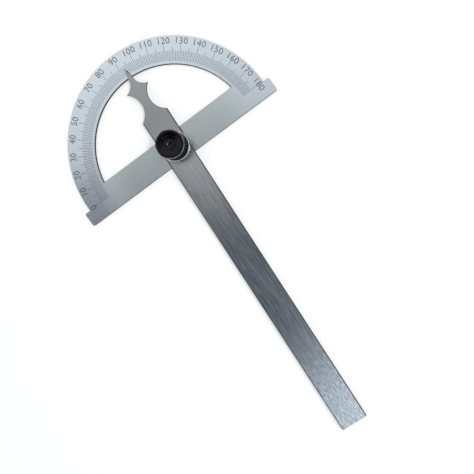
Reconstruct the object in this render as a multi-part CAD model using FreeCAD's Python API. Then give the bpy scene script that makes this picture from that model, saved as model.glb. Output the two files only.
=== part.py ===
import FreeCAD, Part
import os
from math import cos, radians, sin, sqrt
from FreeCAD import Vector

# Bevel protractor: a half-ring degree scale on a straight base bar, with a long blade that
# swings on a pivot and is clamped by a knurled thumb nut.
#
# Millimetres. The origin is on the pivot axis, in the back face of the plate.
# +X points to the 180 degree end of the bar, +Y to the 90 degree mark, +Z up through the nut.

# ---------------------------------------------------------------- driving dimensions

# Scale plate: one stamping, half ring and base bar
PLATE_T = 1.0             # thickness of the sheet
ARC_R_OUT = 40.0          # outer edge of the half ring
ARC_R_IN = 29.8           # inner edge of the half ring
BAR_HALF = 42.4           # pivot to either end of the bar
BAR_LOW = 5.6             # pivot down to the working edge of the bar
BAR_UP = 5.0              # pivot up to the inner edge of the bar
EAR_DROP = 0.2            # zero line down to the top of the ears beyond the ring
EAR_R = 0.6               # corner radius of the ears
WINDOW_R = 0.5            # corner radius of the D-shaped window
EDGE_BREAK = 0.08         # chamfer that tumbling leaves on the stamped edges

# Degree marks: engraved in the half ring, one a degree from 0 at -X to 180 at +X
MARK_IN = 1.2             # inner edge of the ring to the inner ends of the marks
MARK_1 = 3.6              # length of a one degree mark
MARK_5 = 4.8              # length of a five degree mark
MARK_10 = 5.9             # length of a ten degree mark
MARK_W = 0.14
MARK_DEPTH = 0.05

# Blade: one stamping, ruled arm with a spear pointer
BLADE_T = 1.0             # thickness of the strip
BLADE_W = 10.6            # width of the arm
BLADE_LEN = 123.2         # pivot to the square end
BLADE_END_R = 0.4         # corner radius of the square end
SHOULDER_Y = 13.1         # pivot to where the arm starts to narrow
WAIST_HALF = 1.77         # half width of the pointer's waist
BARB_HALF = 4.5           # half width across the two barbs
BARB_IN = 5.05            # barbs to the ring's inner edge
NEEDLE_HALF = 0.85        # half width at the root of the needle
NEEDLE_IN = 0.5           # root of the needle to the ring's inner edge
TIP_HALF = 0.1            # half width of the blunted tip
TIP_OVER = 3.3            # tip's reach over the scale, from the ring's inner edge
BLADE_READING = 93.2      # degrees that the pointer shows at rest

# Pivot stud
HEAD_R = 4.4              # flush head in the back of the plate
HEAD_T = 0.5
NECK_R = 3.1              # round part of the flatted neck
JOURNAL_R = 2.5           # round seat that the blade turns on, also half the neck across its flats
THREAD_R = 2.0            # M4, drawn plain
THREAD_FLAT = 1.45        # axis to the flat along the thread
THREAD_IN_KNOB = 4.0      # length of the thread inside the knob

# Washers
SPACER_R = 4.7
SPACER_T = 0.2
WAVE_R_OUT = 4.4
WAVE_R_IN = 2.4
WAVE_T = 0.15             # thickness of the spring sheet
WAVE_H = 0.35             # height of the wave washer when it is clamped
WAVE_COUNT = 3            # crests round the washer
KEYED_R = 5.6
KEYED_T = 0.5
KEYED_RIM = 0.15          # chamfer of the washer's upper rim

# Lock knob
KNOB_R = 5.3
KNOB_H = 7.0
KNOB_CHAMFER = 0.35       # both ends of the knurled rim
KNURL_COUNT = 56
KNURL_DEPTH = 0.18
DISH_R = 4.35             # shallow dish in the top
DISH_DEPTH = 0.55
CUP_R = 1.9               # round hollow in the middle of the dish
CUP_DEPTH = 0.8
BORE_END_GAP = 0.5        # thread end to the bottom of the knob's blind bore

# Clearances
SEAT_GAP = 0.02           # between pieces that don't move on each other
RUN_GAP = 0.05            # radial, between a shaft and what turns or slides on it
RUB_GAP = 0.02            # between flat faces that turn on each other

# ---------------------------------------------------------------- heights, worked out

SPACER_Z = PLATE_T
BLADE_Z = SPACER_Z + SPACER_T + RUB_GAP
WAVE_Z = BLADE_Z + BLADE_T + RUB_GAP
KEYED_Z = WAVE_Z + WAVE_H + RUB_GAP
KNOB_Z = KEYED_Z + KEYED_T + RUB_GAP
STUD_TOP_Z = KNOB_Z + THREAD_IN_KNOB

Z_AXIS = Vector(0, 0, 1)


# ---------------------------------------------------------------- helpers

def line(a, b):
    return Part.makeLine(Vector(*a, 0), Vector(*b, 0))


def arc(a, through, b):
    return Part.Arc(Vector(*a, 0), Vector(*through, 0), Vector(*b, 0)).toShape()


def sheet(edges, thickness, z=0.0):
    """A flat piece of the given thickness, from a closed outline drawn at z = 0."""
    solid = Part.Face(Part.Wire(Part.__sortEdges__(edges))).extrude(Vector(0, 0, thickness))
    solid.translate(Vector(0, 0, z))
    return solid


def disc(radius, height, z=0.0):
    return Part.makeCylinder(radius, height, Vector(0, 0, z))


def ring(r_out, r_in, height, z):
    return disc(r_out, height, z).cut(disc(r_in, height, z))


def round_corners(solid, corners, radius):
    """Fillets the upright edges that stand at the given (x, y) corners."""
    def stands_at_corner(edge):
        a = edge.Vertexes[0].Point
        b = edge.Vertexes[-1].Point
        upright = abs(a.x - b.x) < 1e-6 and abs(a.y - b.y) < 1e-6
        return upright and any(abs(a.x - x) < 1e-4 and abs(a.y - y) < 1e-4 for x, y in corners)
    return solid.makeFillet(radius, [e for e in solid.Edges if stands_at_corner(e)])


def break_edges(solid, size):
    """Chamfers every edge that lies in the piece's top or bottom face."""
    box = solid.BoundBox
    flat = [e for e in solid.Edges if e.BoundBox.ZLength < 1e-6]
    rims = [e for e in flat if min(e.BoundBox.ZMin - box.ZMin, box.ZMax - e.BoundBox.ZMax) < 1e-6]
    return solid.makeChamfer(size, rims)


def round_copies(shape, count):
    """One compound of equally spaced copies of a shape round the pivot axis."""
    copies = []
    for i in range(count):
        copy = shape.copy()
        copy.rotate(Vector(0, 0, 0), Z_AXIS, 360.0 * i / count)
        copies.append(copy)
    return Part.makeCompound(copies)


def flatted_bar(radius, flats, height, z):
    """A round bar whose sides are cut off at the given distances: +X first, then -X."""
    bar = disc(radius, height, z)
    for side, distance in zip((1, -1), flats):
        block = Part.makeBox(radius, 2 * radius, height, Vector(0, -radius, z))
        if side < 0:
            block.translate(Vector(-radius, 0, 0))
        block.translate(Vector(side * distance, 0, 0))
        bar = bar.cut(block)
    return bar


def turned(points):
    """Revolves a closed (r, z) outline of straight runs round the pivot axis."""
    corners = [Vector(r, 0, z) for r, z in points]
    face = Part.Face(Part.makePolygon(corners + corners[:1]))
    return face.revolve(Vector(0, 0, 0), Z_AXIS, 360)


# ---------------------------------------------------------------- scale plate

def plate_outline():
    ear_x = sqrt(ARC_R_OUT ** 2 - EAR_DROP ** 2)
    return [
        line((-BAR_HALF, -BAR_LOW), (BAR_HALF, -BAR_LOW)),
        line((BAR_HALF, -BAR_LOW), (BAR_HALF, -EAR_DROP)),
        line((BAR_HALF, -EAR_DROP), (ear_x, -EAR_DROP)),
        arc((ear_x, -EAR_DROP), (0, ARC_R_OUT), (-ear_x, -EAR_DROP)),
        line((-ear_x, -EAR_DROP), (-BAR_HALF, -EAR_DROP)),
        line((-BAR_HALF, -EAR_DROP), (-BAR_HALF, -BAR_LOW)),
    ]


def window_cut():
    """The D-shaped opening between the half ring and the bar."""
    x = sqrt(ARC_R_IN ** 2 - BAR_UP ** 2)
    outline = [line((-x, BAR_UP), (x, BAR_UP)), arc((x, BAR_UP), (0, ARC_R_IN), (-x, BAR_UP))]
    return round_corners(sheet(outline, PLATE_T), [(-x, BAR_UP), (x, BAR_UP)], WINDOW_R)


def mark_length(degree):
    if degree % 10 == 0:
        return MARK_10
    return MARK_5 if degree % 5 == 0 else MARK_1


def degree_marks():
    """The grooves of the scale: one radial groove, patterned round the half ring."""
    start = Vector(ARC_R_IN + MARK_IN, -MARK_W / 2, PLATE_T - MARK_DEPTH)
    marks = []
    for degree in range(181):
        mark = Part.makeBox(mark_length(degree), MARK_W, MARK_DEPTH, start)
        mark.rotate(Vector(0, 0, 0), Z_AXIS, 180 - degree)
        marks.append(mark)
    return Part.makeCompound(marks)


def scale_plate():
    ears = [(x, y) for x in (-BAR_HALF, BAR_HALF) for y in (-BAR_LOW, -EAR_DROP)]
    plate = round_corners(sheet(plate_outline(), PLATE_T), ears, EAR_R)
    plate = break_edges(plate.cut(window_cut()), EDGE_BREAK)
    plate = plate.cut(degree_marks())
    flats = (JOURNAL_R + SEAT_GAP, JOURNAL_R + SEAT_GAP)
    plate = plate.cut(flatted_bar(NECK_R + SEAT_GAP, flats, PLATE_T, 0))
    return plate.cut(disc(HEAD_R + SEAT_GAP, HEAD_T + SEAT_GAP))


# ---------------------------------------------------------------- blade

def pointer_side(side):
    """Outline of one side of the spear pointer, from the shoulder to the tip."""
    barb_y = ARC_R_IN - BARB_IN
    needle_y = ARC_R_IN - NEEDLE_IN
    tip_y = ARC_R_IN + TIP_OVER
    waist_y = (SHOULDER_Y + barb_y) / 2
    shoulder = (side * BLADE_W / 2, SHOULDER_Y)
    waist = (side * WAIST_HALF, waist_y)
    barb = (side * BARB_HALF, barb_y)
    root = (side * NEEDLE_HALF, needle_y)
    tip = (side * TIP_HALF, tip_y)

    # The flank above the barb is an arc that leaves the needle's root along the blade.
    rise = needle_y - barb_y
    run = BARB_HALF - NEEDLE_HALF
    flank_r = (run ** 2 + rise ** 2) / (2 * run)
    flank = (side * (NEEDLE_HALF + flank_r * (1 - cos(radians(30)))),
             needle_y - flank_r * sin(radians(30)))
    return [arc(shoulder, waist, barb), arc(barb, flank, root), line(root, tip)]


def blade_outline():
    half = BLADE_W / 2
    tip_y = ARC_R_IN + TIP_OVER
    arm = [
        line((-half, SHOULDER_Y), (-half, -BLADE_LEN)),
        line((-half, -BLADE_LEN), (half, -BLADE_LEN)),
        line((half, -BLADE_LEN), (half, SHOULDER_Y)),
    ]
    tip = [line((-TIP_HALF, tip_y), (TIP_HALF, tip_y))]
    return arm + pointer_side(1) + tip + pointer_side(-1)


def blade():
    corners = [(-BLADE_W / 2, -BLADE_LEN), (BLADE_W / 2, -BLADE_LEN)]
    strip = round_corners(sheet(blade_outline(), BLADE_T, BLADE_Z), corners, BLADE_END_R)
    strip = break_edges(strip, EDGE_BREAK)
    strip = strip.cut(disc(JOURNAL_R + RUN_GAP, BLADE_T, BLADE_Z))
    strip.rotate(Vector(0, 0, 0), Z_AXIS, 90 - BLADE_READING)
    return strip


# ---------------------------------------------------------------- pivot

def pivot_stud():
    neck = flatted_bar(NECK_R, (JOURNAL_R, JOURNAL_R), PLATE_T - HEAD_T, HEAD_T)
    journal_top = BLADE_Z + BLADE_T - RUN_GAP
    journal = disc(JOURNAL_R, journal_top - PLATE_T, PLATE_T)
    flats = (THREAD_FLAT, THREAD_R)
    thread = flatted_bar(THREAD_R, flats, STUD_TOP_Z - journal_top, journal_top)
    return disc(HEAD_R, HEAD_T).fuse([neck, journal, thread]).removeSplitter()


def spacer_washer():
    return ring(SPACER_R, JOURNAL_R + RUN_GAP, SPACER_T, SPACER_Z)


def wavy_rim(radius):
    """A closed curve that rises and falls round the pivot axis."""
    swing = (WAVE_H - WAVE_T) / 2
    points = []
    for i in range(8 * WAVE_COUNT):
        turn = 360.0 * i / (8 * WAVE_COUNT)
        z = WAVE_Z + swing * (1 + sin(radians(WAVE_COUNT * turn)))
        points.append(Vector(radius * cos(radians(turn)), radius * sin(radians(turn)), z))
    curve = Part.BSplineCurve()
    curve.interpolate(Points=points, PeriodicFlag=True)
    return curve.toShape()


def wave_washer():
    face = Part.makeRuledSurface(wavy_rim(WAVE_R_IN), wavy_rim(WAVE_R_OUT))
    return face.extrude(Vector(0, 0, WAVE_T))


def keyed_washer():
    washer = disc(KEYED_R, KEYED_T, KEYED_Z)
    top_rim = [e for e in washer.Edges if e.BoundBox.ZMin > KEYED_Z + KEYED_T / 2]
    washer = washer.makeChamfer(KEYED_RIM, top_rim)
    flats = (THREAD_FLAT + RUN_GAP, THREAD_R + RUN_GAP)
    return washer.cut(flatted_bar(THREAD_R + RUN_GAP, flats, KEYED_T, KEYED_Z))


# ---------------------------------------------------------------- lock knob

def knob_blank():
    top = KNOB_Z + KNOB_H
    rim = KNOB_R - KNOB_CHAMFER
    return turned([
        (0, KNOB_Z),
        (rim, KNOB_Z),
        (KNOB_R, KNOB_Z + KNOB_CHAMFER),
        (KNOB_R, top - KNOB_CHAMFER),
        (rim, top),
        (DISH_R, top),
        (CUP_R, top - DISH_DEPTH),
        (0, top - DISH_DEPTH),
    ])


def cup():
    """The round hollow in the middle of the dish, a cap of a ball."""
    ball_r = (CUP_R ** 2 + CUP_DEPTH ** 2) / (2 * CUP_DEPTH)
    rim_z = KNOB_Z + KNOB_H - DISH_DEPTH
    return Part.makeSphere(ball_r, Vector(0, 0, rim_z + ball_r - CUP_DEPTH))


def knurl():
    """V-grooves down the rim, one groove patterned round the knob."""
    half_w = KNURL_DEPTH
    groove = Part.Face(Part.makePolygon([
        Vector(KNOB_R - KNURL_DEPTH, 0, KNOB_Z),
        Vector(KNOB_R + KNURL_DEPTH, 2 * half_w, KNOB_Z),
        Vector(KNOB_R + KNURL_DEPTH, -2 * half_w, KNOB_Z),
        Vector(KNOB_R - KNURL_DEPTH, 0, KNOB_Z),
    ])).extrude(Vector(0, 0, KNOB_H))
    return round_copies(groove, KNURL_COUNT)


def lock_knob():
    bore = disc(THREAD_R + RUN_GAP, THREAD_IN_KNOB + BORE_END_GAP, KNOB_Z)
    return knob_blank().cut(cup()).cut(knurl()).cut(bore)


# ---------------------------------------------------------------- write the pieces

NODES = {
    "scale_plate": scale_plate,
    "pivot_stud": pivot_stud,
    "spacer_washer": spacer_washer,
    "blade": blade,
    "wave_washer": wave_washer,
    "keyed_washer": keyed_washer,
    "lock_knob": lock_knob,
}

os.makedirs("parts", exist_ok=True)
for name, make in NODES.items():
    shape = make()
    print(name, "valid" if shape.isValid() else "INVALID", len(shape.Solids), "solid",
          round(shape.Volume, 2), "mm3")
    shape.exportStep(f"parts/{name}.step")
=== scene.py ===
# %% [markdown]
# # A bevel protractor, finished and lit
#
# The solids of this small measuring tool come from CAD: a half-ring scale on a straight bar,
# a long blade with a spear pointer, and the pivot that clamps them under a black thumb nut.
# This lesson gives each steel piece the finish that its maker left on it, prints the numbers
# of the scale, and lights the tool the way a small product is lit in a white tent.
#
# The solids could be modelled again here, but they already have the right size and fit, so
# the scene keeps them and adds only what CAD leaves out: finishes and lettering.

# %% Load the solids
import bpy
from math import radians, cos, sin, pi
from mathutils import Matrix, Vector


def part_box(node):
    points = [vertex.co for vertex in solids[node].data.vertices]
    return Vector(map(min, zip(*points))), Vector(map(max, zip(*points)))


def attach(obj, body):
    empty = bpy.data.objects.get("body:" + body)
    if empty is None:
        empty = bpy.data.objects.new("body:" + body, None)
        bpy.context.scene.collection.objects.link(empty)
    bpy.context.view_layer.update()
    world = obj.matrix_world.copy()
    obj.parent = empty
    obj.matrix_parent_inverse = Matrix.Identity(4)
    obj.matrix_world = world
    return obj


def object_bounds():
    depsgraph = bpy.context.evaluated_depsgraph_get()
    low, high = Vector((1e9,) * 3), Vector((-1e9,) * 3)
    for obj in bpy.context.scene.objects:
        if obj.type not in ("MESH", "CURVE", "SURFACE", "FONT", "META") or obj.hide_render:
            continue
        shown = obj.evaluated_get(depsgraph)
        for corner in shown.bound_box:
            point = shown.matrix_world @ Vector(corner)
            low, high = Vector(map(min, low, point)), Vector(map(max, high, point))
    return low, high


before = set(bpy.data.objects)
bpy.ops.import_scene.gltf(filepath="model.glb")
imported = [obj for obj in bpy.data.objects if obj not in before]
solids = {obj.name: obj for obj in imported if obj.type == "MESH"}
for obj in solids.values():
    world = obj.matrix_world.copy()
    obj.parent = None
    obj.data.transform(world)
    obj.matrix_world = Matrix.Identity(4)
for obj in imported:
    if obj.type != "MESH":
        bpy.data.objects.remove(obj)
cad_low, cad_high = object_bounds()
print("solids:", sorted(solids))
print("size in mm:", [round(1000 * v, 1) for v in cad_high - cad_low])

# %% [markdown]
# ## Measures taken from the solids
#
# Everything on the plate is placed from the pivot, which is the origin. The plate's box
# gives the top face that the numbers lie on and the outer radius of the half ring, and the
# knob's box gives its radius and its top. The few measures that a box doesn't show, such as
# the inner edge of the ring, are named here once and used by the finishes below.

# %% Measures of the plate, the blade and the knob
MM = 0.001
plate_low, plate_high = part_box("scale_plate")
knob_low, knob_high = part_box("lock_knob")
plate_top = plate_high.z
ring_outside = plate_high.y
knob_radius = (knob_high.x - knob_low.x) / 2
RING_INSIDE = 29.8 * MM             # inner edge of the half ring
BAR_TOP = 5.0 * MM                  # pivot to the bar's edge in the window
blade_lean = radians(-3.2)          # the blade leans this far from the Y axis at rest
BLADE_HALF = 5.3 * MM               # half the width of the blade
print("plate top", plate_top, "ring radius", ring_outside, "knob radius", knob_radius)

# %% [markdown]
# ## A short way to write shader graphs
#
# Each finish is a small graph of nodes. The nodes could be wired by hand in the shader
# editor. Written out in code, one node takes four or five lines, so one helper adds a node,
# sets its values and wires its inputs in a single call.

# %% Helpers that add nodes
def add(tree, kind, inputs=None, **settings):
    """Adds a node. Each input is either a plain value or another node's output."""
    node = tree.nodes.new(kind)
    for name, value in settings.items():
        setattr(node, name, value)
    for name, value in (inputs or {}).items():
        if isinstance(value, bpy.types.NodeSocket):
            tree.links.new(value, node.inputs[name])
        else:
            node.inputs[name].default_value = value
    return node


def calc(tree, operation, a, b=0.0):
    """One step of arithmetic on plain values or outputs."""
    return add(tree, "ShaderNodeMath", {0: a, 1: b}, operation=operation).outputs[0]


def times(tree, a, b):
    return calc(tree, "MULTIPLY", a, b)


def ramp(tree, value, low, high, to_low=0.0, to_high=1.0):
    """Slides smoothly from to_low to to_high as value goes from low to high."""
    ends = {"From Min": low, "From Max": high, "To Min": to_low, "To Max": to_high}
    slide = add(tree, "ShaderNodeMapRange", {"Value": value, **ends}, interpolation_type="SMOOTHSTEP")
    return slide.outputs["Result"]


def blend(tree, factor, first, second):
    """Mixes two colours. factor 0 gives the first."""
    mix = add(tree, "ShaderNodeMix", data_type="RGBA")
    for name, kind, value in (("Factor", "VALUE", factor), ("A", "RGBA", first), ("B", "RGBA", second)):
        socket = [s for s in mix.inputs if s.name == name and s.type == kind][0]
        if isinstance(value, bpy.types.NodeSocket):
            tree.links.new(value, socket)
        else:
            socket.default_value = value
    return [s for s in mix.outputs if s.type == "RGBA"][0]


def new_finish(name):
    """A material with an empty graph: the material, its tree and its shader."""
    material = bpy.data.materials.new(name)
    material.use_nodes = True
    tree = material.node_tree
    return material, tree, tree.nodes["Principled BSDF"]


def wear(node_name, material):
    """Puts a finish on a solid in place of the one that it came with."""
    solid = solids[node_name]
    solid.data.materials.clear()
    solid.data.materials.append(material)
    print(node_name, "wears", material.name)


# %% [markdown]
# ## Where a point lies on a piece
#
# A finish changes from place to place: an edge is darker than a face, partly by painted
# shade, and a turned piece has its rings round the axis. Painted masks would need images.
# Each mask here is worked out from the point's own place on the piece, so it moves with
# the piece when a joint moves.

# %% Places and edges
def object_place(tree):
    return add(tree, "ShaderNodeTexCoord").outputs["Object"]


def side_wall(tree):
    """1 on the cut edges of a sheet, 0 on its flat faces."""
    facing = add(tree, "ShaderNodeTexCoord").outputs["Normal"]
    up = add(tree, "ShaderNodeSeparateXYZ", {"Vector": facing}).outputs["Z"]
    return ramp(tree, calc(tree, "ABSOLUTE", up), 0.98, 0.8)


def from_axis(tree):
    """Distance from the pivot axis in metres."""
    flat = add(tree, "ShaderNodeVectorMath", {0: object_place(tree), 1: (1, 1, 0)}, operation="MULTIPLY")
    return add(tree, "ShaderNodeVectorMath", {0: flat.outputs[0]}, operation="LENGTH").outputs["Value"]


# %% [markdown]
# ## What makes steel look brushed or turned
#
# Steel sheet is ground on a belt, which leaves fine scratches that all run one way. An image
# of scratches would do, but a noise that is squeezed across the grain and stretched along it
# needs no image and stays sharp at any distance. A lathe leaves rings round the axis
# instead: that is a noise that depends only on the distance from the axis. It makes a
# highlight spread like the light on a record, so the shader is also told that the scratches
# run round the axis.

# %% Grain, mottle and rings
def grain(tree, turn, length, width, detail=3.0, rough=0.6):
    """Noise in streaks of this length and width in metres, turned from the X axis."""
    turned = add(tree, "ShaderNodeMapping", {"Vector": object_place(tree), "Rotation": (0, 0, turn)},
                 vector_type="TEXTURE").outputs["Vector"]
    squeezed = add(tree, "ShaderNodeMapping",
                   {"Vector": turned, "Scale": (1 / length, 1 / width, 1 / width)}).outputs["Vector"]
    return add(tree, "ShaderNodeTexNoise",
               {"Vector": squeezed, "Scale": 1.0, "Detail": detail, "Roughness": rough}).outputs["Fac"]


def mottle(tree, scale, detail):
    """Even noise with this many waves in a metre."""
    waves = {"Vector": object_place(tree), "Scale": scale, "Detail": detail}
    return add(tree, "ShaderNodeTexNoise", waves).outputs["Fac"]


def lathe_rings(tree, radius, width, detail):
    """Noise in rings of this width in metres round the axis."""
    waves = {"W": times(tree, radius, 1 / width), "Scale": 1.0, "Detail": detail}
    return add(tree, "ShaderNodeTexNoise", waves, noise_dimensions="1D").outputs["Fac"]


def emboss(tree, shader, height, strength, depth):
    """Lets a noise stand up from the surface as a fine bump."""
    bump = add(tree, "ShaderNodeBump", {"Height": height, "Strength": strength, "Distance": depth})
    tree.links.new(bump.outputs["Normal"], shader.inputs["Normal"])


def scratch_round_axis(tree, shader, amount):
    shader.inputs["Anisotropic"].default_value = amount
    tangent = add(tree, "ShaderNodeTangent", direction_type="RADIAL", axis="Z")
    tree.links.new(tangent.outputs["Tangent"], shader.inputs["Tangent"])


# %% [markdown]
# ## The scale plate
#
# The plate is stamped from stainless sheet, then ground and etched to a pale, slightly blue
# satin so that the marks can be read without glare. Its colour is painted darker on the bar
# and near the zero end of the ring, and paler on the rest of the ring: painted shade and
# painted reflection of the tent. Its cut edges, and a narrow band of the top face along the
# inner edge of the ring, are painted near black: the press shears the edges and they are
# only tumbled, and over that dark lies painted shade of the walls and the gap under them.
# The degree marks are real grooves in the solid, filled with dark ink. The ink could be
# separate thin pieces, but the grooves are already there, so the finish darkens whatever
# lies below the top face inside the scale.

# %% Masks of the scale plate
def plate_edges(tree, radius, axes):
    """1 on the cut edges and on the narrow band along the inner edge of the ring, which the finish paints
    near black as painted shade.
    """
    painted_shade_band = times(tree, ramp(tree, radius, RING_INSIDE + 0.30 * MM, RING_INSIDE + 0.10 * MM),
                 ramp(tree, axes["Y"], BAR_TOP - 0.1 * MM, BAR_TOP + 0.2 * MM))
    return calc(tree, "MAXIMUM", side_wall(tree), painted_shade_band)


def plate_grooves(tree, radius, axes):
    """1 inside the engraved marks, 0 elsewhere."""
    below_top = ramp(tree, axes["Z"], plate_top - 0.02 * MM, plate_top - 0.045 * MM)
    above_back = ramp(tree, axes["Z"], 0.90 * plate_top, 0.93 * plate_top)
    in_scale = times(tree, ramp(tree, radius, RING_INSIDE + 0.7 * MM, RING_INSIDE + 1.0 * MM),
                     ramp(tree, radius, ring_outside - 2.6 * MM, ring_outside - 2.8 * MM))
    above_zero = ramp(tree, axes["Y"], -0.4 * MM, -0.2 * MM)
    return times(tree, times(tree, below_top, above_back), times(tree, in_scale, above_zero))


# %% Satin finish of the scale plate, with ink in the grooves
def scale_plate_finish():
    material, tree, shader = new_finish("satin_scale_steel_painted_light")
    fine = grain(tree, 0.0, 9 * MM, 0.10 * MM)
    broad = grain(tree, 0.0, 30 * MM, 1.6 * MM, detail=2.0)
    cloud = grain(tree, 0.6, 9 * MM, 6 * MM, detail=2.0)
    axes = add(tree, "ShaderNodeSeparateXYZ", {"Vector": object_place(tree)}).outputs
    radius = from_axis(tree)

    # Painted reflection and shade: the ring is painted paler than the bar, and the zero end darker, as
    # the tent's light falls on them.
    painted_reflection_on_ring = ramp(tree, radius, 18.0 * MM, 34.0 * MM)
    painted_zero_end_shade = times(tree, ramp(tree, axes["X"], -26.0 * MM, -38.0 * MM),
                     ramp(tree, axes["Y"], 22.0 * MM, 4.0 * MM))
    satin_and_painted_light = blend(tree, painted_reflection_on_ring, (0.61, 0.675, 0.665, 1), (0.76, 0.835, 0.895, 1))
    satin_and_painted_light = blend(tree, times(tree, painted_zero_end_shade, 0.95), satin_and_painted_light, (0.43, 0.47, 0.515, 1))
    satin_and_painted_light = blend(tree, ramp(tree, fine, 0.3, 0.7, 0.0, 0.16), satin_and_painted_light, (0.42, 0.46, 0.50, 1))
    satin_and_painted_light = blend(tree, ramp(tree, broad, 0.3, 0.7, 0.0, 0.10), satin_and_painted_light, (0.86, 0.90, 0.93, 1))
    satin_and_painted_light = blend(tree, ramp(tree, cloud, 0.3, 0.7, 0.0, 0.10), satin_and_painted_light, (0.55, 0.60, 0.70, 1))

    edge_and_painted_shade = plate_edges(tree, radius, axes)
    groove = plate_grooves(tree, radius, axes)
    # Cut edges and the band by the inner edge painted near black: dark sheared steel with painted shade
    # over it.
    satin_and_painted_light = blend(tree, edge_and_painted_shade, satin_and_painted_light, (0.020, 0.018, 0.016, 1))
    worn_ink = blend(tree, ramp(tree, cloud, 0.35, 0.65), (0.04, 0.05, 0.075, 1), (0.14, 0.15, 0.19, 1))
    tree.links.new(blend(tree, groove, satin_and_painted_light, worn_ink), shader.inputs["Base Color"])

    tree.links.new(calc(tree, "SUBTRACT", 1.0, groove), shader.inputs["Metallic"])
    polish = ramp(tree, fine, 0.25, 0.75, 0.20, 0.30)
    tree.links.new(calc(tree, "ADD", polish, times(tree, edge_and_painted_shade, 0.12)), shader.inputs["Roughness"])
    emboss(tree, shader, fine, 0.25, 0.01 * MM)
    return material


wear("scale_plate", scale_plate_finish())

# %% [markdown]
# ## The blade
#
# The blade is cut from rolled strip and ground along its length, so its grain runs from the
# pointer to the square end. It is a duller, darker grey than the plate. The grey is painted
# palest just below the clamp and darkest on the pointer: painted reflection and painted
# shade. The square end has short pale scuffs, painted bright as a reflection of the pale
# wall. The long sides are sheared and oiled, and a thin dark line is painted down each of
# them: painted shade along the edges. All of this could be laid out in the plate's
# directions, but the blade leans from them, so the place is first turned to the blade's own
# length.

# %% Long ground finish of the blade
def blade_colour(tree, streaks, along, axes):
    """Colour of the blade's faces, with its painted reflection and shade, and its fine grain. Y runs
    along the blade to the pointer.
    """
    fine = grain(tree, along, 12 * MM, 0.09 * MM)
    patches = grain(tree, along + 0.5, 11 * MM, 5 * MM, detail=3.0)
    steel_and_painted_light = blend(tree, ramp(tree, fine, 0.3, 0.7), (0.36, 0.405, 0.445, 1), (0.52, 0.565, 0.605, 1))
    # Painted reflection and shade: palest just below the clamp, darkest towards the pointer.
    painted_reflection_below_clamp = ramp(tree, axes["Y"], -45 * MM, -14 * MM, 0.0, 0.7)
    steel_and_painted_light = blend(tree, painted_reflection_below_clamp, steel_and_painted_light, (0.72, 0.72, 0.71, 1))
    painted_shade_past_clamp = ramp(tree, axes["Y"], -10 * MM, 14 * MM, 0.0, 0.85)
    steel_and_painted_light = blend(tree, painted_shade_past_clamp, steel_and_painted_light, (0.31, 0.30, 0.30, 1))
    steel_and_painted_light = blend(tree, ramp(tree, streaks, 0.35, 0.7, 0.0, 0.13), steel_and_painted_light, (0.66, 0.71, 0.76, 1))
    steel_and_painted_light = blend(tree, ramp(tree, patches, 0.35, 0.7, 0.0, 0.22), steel_and_painted_light, (0.37, 0.36, 0.365, 1))

    # Pale bluish streaks at the square end: scuffs with a painted reflection of the pale wall.
    painted_reflection_streaks = grain(tree, along + 0.08, 2.2 * MM, 0.32 * MM, detail=4.0, rough=0.7)
    near_end = ramp(tree, axes["Y"], -78 * MM, -108 * MM)
    lightened = times(tree, near_end, ramp(tree, painted_reflection_streaks, 0.45, 0.56))
    return blend(tree, lightened, steel_and_painted_light, (0.78, 0.87, 0.96, 1)), fine


def blade_finish():
    material, tree, shader = new_finish("ground_blade_steel_painted_light")
    along = pi / 2 + blade_lean
    streaks = grain(tree, along, 9 * MM, 0.28 * MM, detail=3.0)
    own = add(tree, "ShaderNodeMapping", {"Vector": object_place(tree), "Rotation": (0, 0, blade_lean)},
              vector_type="TEXTURE").outputs["Vector"]
    axes = add(tree, "ShaderNodeSeparateXYZ", {"Vector": own}).outputs
    steel_and_painted_light, fine = blade_colour(tree, streaks, along, axes)

    from_middle = calc(tree, "ABSOLUTE", axes["X"])
    # A thin dark band painted along each long side: painted shade by the edges.
    painted_edge_shade = ramp(tree, from_middle, BLADE_HALF - 0.50 * MM, BLADE_HALF - 0.15 * MM)
    on_arm = ramp(tree, axes["Y"], 14 * MM, 12 * MM)
    edge_and_painted_shade = calc(tree, "MAXIMUM", side_wall(tree), times(tree, painted_edge_shade, on_arm))
    # Sheared side walls and that band painted near black: dark edges with painted shade.
    tree.links.new(blend(tree, edge_and_painted_shade, steel_and_painted_light, (0.022, 0.022, 0.024, 1)), shader.inputs["Base Color"])

    shader.inputs["Metallic"].default_value = 1.0
    shader.inputs["Anisotropic"].default_value = 0.3
    polish = ramp(tree, streaks, 0.25, 0.75, 0.19, 0.30)
    tree.links.new(calc(tree, "ADD", polish, times(tree, edge_and_painted_shade, 0.15)), shader.inputs["Roughness"])
    emboss(tree, shader, fine, 0.3, 0.01 * MM)
    return material


wear("blade", blade_finish())

# %% [markdown]
# ## The lock knob
#
# The knob is turned from bar and blackened, with the rings of the lathe in its dished top.
# It could be a black paint, but paint has no rings and no colour in its shine, so it is a
# very dark metal. The knurled rim is in the solid. Its crests are rubbed a little brighter
# by fingers, and the chamfer round the top shows worn steel, painted brighter still as a
# painted highlight.

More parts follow.
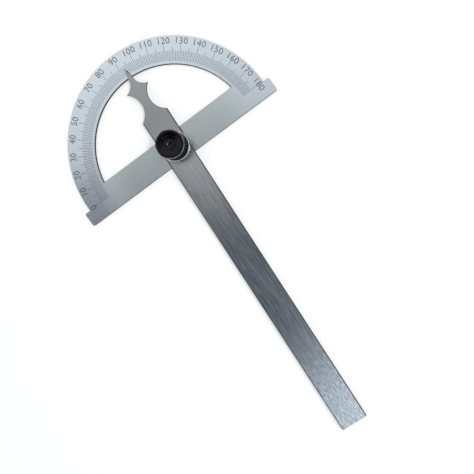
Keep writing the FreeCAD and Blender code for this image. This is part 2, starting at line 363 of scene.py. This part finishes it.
# %% Black turned finish of the lock knob
def knob_finish():
    material, tree, shader = new_finish("blackened_steel_painted_highlight")
    radius = from_axis(tree)
    height = add(tree, "ShaderNodeSeparateXYZ", {"Vector": object_place(tree)}).outputs["Z"]
    rings = lathe_rings(tree, radius, 0.16 * MM, 2.0)
    bloom = mottle(tree, 900.0, 3.0)

    black = blend(tree, ramp(tree, rings, 0.35, 0.65), (0.006, 0.006, 0.007, 1), (0.034, 0.034, 0.036, 1))
    crest = ramp(tree, radius, knob_radius - 0.10 * MM, knob_radius)
    lightened = times(tree, crest, ramp(tree, bloom, 0.4, 0.7, 0.2, 0.8))
    black = blend(tree, lightened, black, (0.085, 0.088, 0.094, 1))
    # The chamfer round the top: worn steel, painted brighter as a painted highlight.
    chamfer = times(tree, ramp(tree, radius, knob_radius - 0.42 * MM, knob_radius - 0.36 * MM),
                    ramp(tree, height, knob_high.z - 0.40 * MM, knob_high.z - 0.30 * MM))
    worn_and_painted_highlight = times(tree, chamfer, ramp(tree, bloom, 0.35, 0.6, 0.3, 1.0))
    tree.links.new(blend(tree, worn_and_painted_highlight, black, (0.24, 0.24, 0.25, 1)), shader.inputs["Base Color"])

    shader.inputs["Metallic"].default_value = 1.0
    shader.inputs["Specular Tint"].default_value = (0.29, 0.30, 0.32, 1)
    tree.links.new(ramp(tree, bloom, 0.3, 0.7, 0.12, 0.22), shader.inputs["Roughness"])
    scratch_round_axis(tree, shader, 0.6)
    emboss(tree, shader, rings, 0.5, 0.02 * MM)
    return material


wear("lock_knob", knob_finish())

# %% [markdown]
# ## Washers and stud
#
# Only the bright rim of the keyed washer shows under the knob. The thin spacer, the wave
# washer and the stud lie inside the pivot or face the floor. Each is a turned or stamped
# steel piece with its own colour: the keyed washer is nickel bright, the spring steel is
# browner, and the stud's head shows the rings of the lathe. Each could have a function of
# its own, but only the colour, the polish and the rings differ, so one function makes all.

# %% Turned steel for the small pieces
def turned_steel(name, dark, light, smooth, dull, ring_width, ring_strength):
    material, tree, shader = new_finish(name)
    rings = lathe_rings(tree, from_axis(tree), ring_width, 3.0)
    both = calc(tree, "ADD", times(tree, rings, 0.6), times(tree, mottle(tree, 700.0, 4.0), 0.4))
    tree.links.new(blend(tree, ramp(tree, both, 0.35, 0.65), dark, light), shader.inputs["Base Color"])
    shader.inputs["Metallic"].default_value = 1.0
    tree.links.new(ramp(tree, both, 0.3, 0.7, smooth, dull), shader.inputs["Roughness"])
    scratch_round_axis(tree, shader, 0.5)
    emboss(tree, shader, rings, ring_strength, 0.01 * MM)
    return material


wear("keyed_washer", turned_steel("bright_nickel", (0.50, 0.51, 0.53, 1), (0.80, 0.80, 0.82, 1),
                                  0.14, 0.24, 0.12 * MM, 0.3))
wear("spacer_washer", turned_steel("satin_washer_steel", (0.42, 0.43, 0.44, 1), (0.60, 0.61, 0.62, 1),
                                   0.25, 0.38, 0.10 * MM, 0.3))
wear("wave_washer", turned_steel("spring_steel", (0.24, 0.22, 0.20, 1), (0.42, 0.40, 0.37, 1),
                                 0.28, 0.42, 0.20 * MM, 0.2))
wear("pivot_stud", turned_steel("turned_stud_steel", (0.46, 0.46, 0.46, 1), (0.68, 0.68, 0.67, 1),
                                0.18, 0.32, 0.14 * MM, 0.45))

# %% [markdown]
# ## The numbers of the scale
#
# Every tenth degree has a number outside its mark, with its top to the outer edge, so the
# numbers turn with the ring. On the real tool they are etched and filled with the same dark
# ink as the marks. They could be painted by a texture, but a texture would need an image,
# so each number is set as text, made a mesh, and carried to its place round the ring. The
# ink stands a hundredth of a millimetre proud of the plate.

# %% Set one number of the scale
NUMBER_HEIGHT = 2.35 * MM           # height of a figure
FIGURE_SHARE = 0.72                 # a figure's height as a share of the type size
NUMBER_RADIUS = ring_outside - 1.85 * MM
INK_HALF = 0.01 * MM                # the ink reaches this far above and below the top face
STROKE_TRIM = 0.015 * MM            # taken off both sides of every stroke, for thin figures


def set_number(value):
    bpy.ops.object.text_add(location=(0, 0, 0))
    text = bpy.context.object
    text.data.body = str(value)
    text.data.size = NUMBER_HEIGHT / FIGURE_SHARE
    text.data.align_x = "CENTER"
    text.data.align_y = "CENTER"
    text.data.extrude = INK_HALF
    text.data.offset = -STROKE_TRIM
    text.data.resolution_u = 6
    text.data.space_character = 1.05
    bpy.ops.object.convert(target="MESH")
    number = bpy.context.object
    where = radians(180 - value)
    number.location = (NUMBER_RADIUS * cos(where), NUMBER_RADIUS * sin(where), plate_top)
    number.rotation_euler = (0, 0, where - pi / 2)
    bpy.ops.object.transform_apply(location=True, rotation=True, scale=True)
    return number


numbers = []
for value in range(0, 181, 10):
    bpy.ops.object.select_all(action="DESELECT")
    numbers.append(set_number(value))
print("numbers set:", len(numbers))

# %% [markdown]
# ## One piece of ink
#
# The numbers are one printing on the real tool, and none of them moves by itself. Nineteen
# objects would work as well, but one is easier to follow and to hand on, so they are joined,
# their doubled points are merged and all their faces are turned outward.

# %% Join the numbers
bpy.ops.object.select_all(action="DESELECT")
for number in numbers:
    number.select_set(True)
bpy.context.view_layer.objects.active = numbers[0]
bpy.ops.object.join()
scale_numbers = bpy.context.object
scale_numbers.name = "scale_numbers"
bpy.ops.object.mode_set(mode="EDIT")
bpy.ops.mesh.select_all(action="SELECT")
bpy.ops.mesh.remove_doubles(threshold=1e-6)
bpy.ops.mesh.normals_make_consistent(inside=False)
bpy.ops.object.mode_set(mode="OBJECT")
bpy.ops.object.origin_set(type="ORIGIN_CURSOR")
print("numbers:", len(scale_numbers.data.polygons), "faces, origin", tuple(scale_numbers.location))

# %% [markdown]
# ## Ink
#
# The ink is a dark blue grey that has worn thin in places, so the steel shines through it a
# little. A see-through layer could show that steel, but it is slow to render and hard to
# export, so a coarse noise chooses where the ink turns paler and more like metal.

# %% Ink of the numbers
def ink_finish():
    material, tree, shader = new_finish("etched_ink")
    thin = mottle(tree, 450.0, 4.0)
    colour = blend(tree, ramp(tree, thin, 0.42, 0.68), (0.018, 0.022, 0.034, 1), (0.085, 0.10, 0.135, 1))
    tree.links.new(colour, shader.inputs["Base Color"])
    tree.links.new(ramp(tree, thin, 0.45, 0.75, 0.0, 0.35), shader.inputs["Metallic"])
    tree.links.new(ramp(tree, thin, 0.3, 0.7, 0.5, 0.7), shader.inputs["Roughness"])
    return material


scale_numbers.data.materials.clear()
scale_numbers.data.materials.append(ink_finish())
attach(scale_numbers, "base")
print("ink on", scale_numbers.name, "in", scale_numbers.data.materials[0].name)

# %% [markdown]
# ## Floor
#
# The tool lies on its back on a plain white sheet. More light on the sheet would make it
# white, but would wash out the steel too. Here the sheet is plain diffuse white, and nearly
# half of what the camera sees of it, and of what the steel mirrors, is its own even white.
# So it comes out white and still keeps the soft shadow of the tool.

# %% White sheet under the tool
FLOOR_GAP = 0.02 * MM               # the sheet lies this far below the tool's back
OWN_WHITE = 0.45                    # share of the sheet's look that is its own white
bpy.ops.object.select_all(action="DESELECT")
bpy.ops.mesh.primitive_plane_add(size=6.0, location=(0, 0, cad_low.z - FLOOR_GAP))
floor = bpy.context.object
floor.name = "white_sheet"
paper, tree, shader = new_finish("white_paper")
tree.nodes.remove(shader)
rays = add(tree, "ShaderNodeLightPath").outputs
mirrored = calc(tree, "MAXIMUM", rays["Is Glossy Ray"], rays["Is Transmission Ray"])
seen = calc(tree, "MAXIMUM", rays["Is Camera Ray"], mirrored)
matt = add(tree, "ShaderNodeBsdfDiffuse", {"Color": (0.90, 0.90, 0.90, 1)}).outputs[0]
glow = add(tree, "ShaderNodeEmission", {"Color": (1, 1, 1, 1), "Strength": 1.0}).outputs[0]
own_share = times(tree, seen, OWN_WHITE)
sheet_shader = add(tree, "ShaderNodeMixShader", {"Fac": own_share, 1: matt, 2: glow}).outputs[0]
tree.links.new(sheet_shader, tree.nodes["Material Output"].inputs["Surface"])
floor.data.materials.append(paper)
print("floor at", round(floor.location.z / MM, 3), "mm, finish", paper.name)

# %% [markdown]
# ## Light
#
# A small shiny tool is best shown in a white tent, seen through a hole in its top. Steel
# shows the tent's pale walls, and where it mirrors the hole it goes dark, which gives the
# flat faces their slow change from pale to dark. Lamps alone would leave the steel black
# between them. The tent is the world, and the hole is a dark patch of it close to straight
# above. Its place is given by how far a direction leans sideways and forward for each
# step up.

# %% The tent and its hole
HOLE_LEAN = (-0.35, -0.11)          # middle of the hole, sideways and forward
HOLE_REACH = (0.40, 0.17)           # half its width both ways, where it starts to fade
NEAR_WALL = (-0.25, -0.34)          # the wall on the viewer's side starts between these leans
world = bpy.data.worlds.new("white_tent")
bpy.context.scene.world = world
world.use_nodes = True
tree = world.node_tree
sky = tree.nodes["Background"]
direction = add(tree, "ShaderNodeTexCoord").outputs["Generated"]
look = add(tree, "ShaderNodeSeparateXYZ", {"Vector": direction}).outputs
height = calc(tree, "MAXIMUM", look["Z"], 0.01)
sideways = calc(tree, "DIVIDE", look["X"], height)
forward = calc(tree, "DIVIDE", look["Y"], height)


def squared(value, centre, reach):
    """How far value is from centre, in reaches, squared."""
    away = calc(tree, "DIVIDE", calc(tree, "SUBTRACT", value, centre), reach)
    return calc(tree, "POWER", calc(tree, "ABSOLUTE", away), 2.0)


spread = calc(tree, "SQRT", calc(tree, "ADD", squared(sideways, HOLE_LEAN[0], HOLE_REACH[0]),
                                 squared(forward, HOLE_LEAN[1], HOLE_REACH[1])))
outside = ramp(tree, spread, 0.9, 3.0)
tent = blend(tree, outside, (0.055, 0.070, 0.090, 1), (0.92, 0.93, 0.94, 1))
tent = blend(tree, ramp(tree, forward, *NEAR_WALL), tent, (0.88, 0.92, 0.96, 1))
tree.links.new(tent, sky.inputs["Color"])
sky.inputs["Strength"].default_value = 1.0
print("world:", world.name, "with", len(tree.nodes), "nodes")

# %% [markdown]
# ## A lamp for the shadows
#
# The tent lights the tool from everywhere, so its shadows fall nowhere. A sun would give
# them hard edges. One small soft lamp, high on the right, gives them a side to fall to and
# brings the sheet up to full white.

# %% The soft lamp
bpy.ops.object.select_all(action="DESELECT")
bpy.ops.object.light_add(type="AREA", location=(0.25, -0.13, 0.52))
lamp = bpy.context.object
lamp.name = "soft_lamp"
lamp.data.shape = "SQUARE"
lamp.data.size = 0.10
lamp.data.energy = 1.6
lamp.rotation_euler = Vector(lamp.location).to_track_quat("Z", "Y").to_euler()
print("lamp", round(lamp.location.length, 3), "m from the pivot,", lamp.data.energy, "W")

# %% [markdown]
# ## Camera
#
# The tool is seen from above and a little to one side, with the bar rising to the right and
# the blade running down to the right. The lens is close to a normal one. Turning the camera
# would bring the tool to the middle as well, but it would change how round the ring looks,
# so a small sideways shift does it.

# %% Camera
bpy.ops.object.select_all(action="DESELECT")
bpy.ops.object.camera_add(location=(25.43 * MM, -41.73 * MM, 204.48 * MM),
                          rotation=(radians(-4.10), radians(1.42), radians(-36.03)))
camera = bpy.context.object
camera.name = "camera"
camera.data.sensor_width = 36.0
camera.data.lens = 41.77
camera.data.shift_x = -0.0992
camera.data.clip_start = 0.01
bpy.context.scene.camera = camera
bpy.context.scene.view_settings.view_transform = "Standard"
print("camera", round(camera.location.z / MM, 1), "mm up, lens", camera.data.lens, "mm")
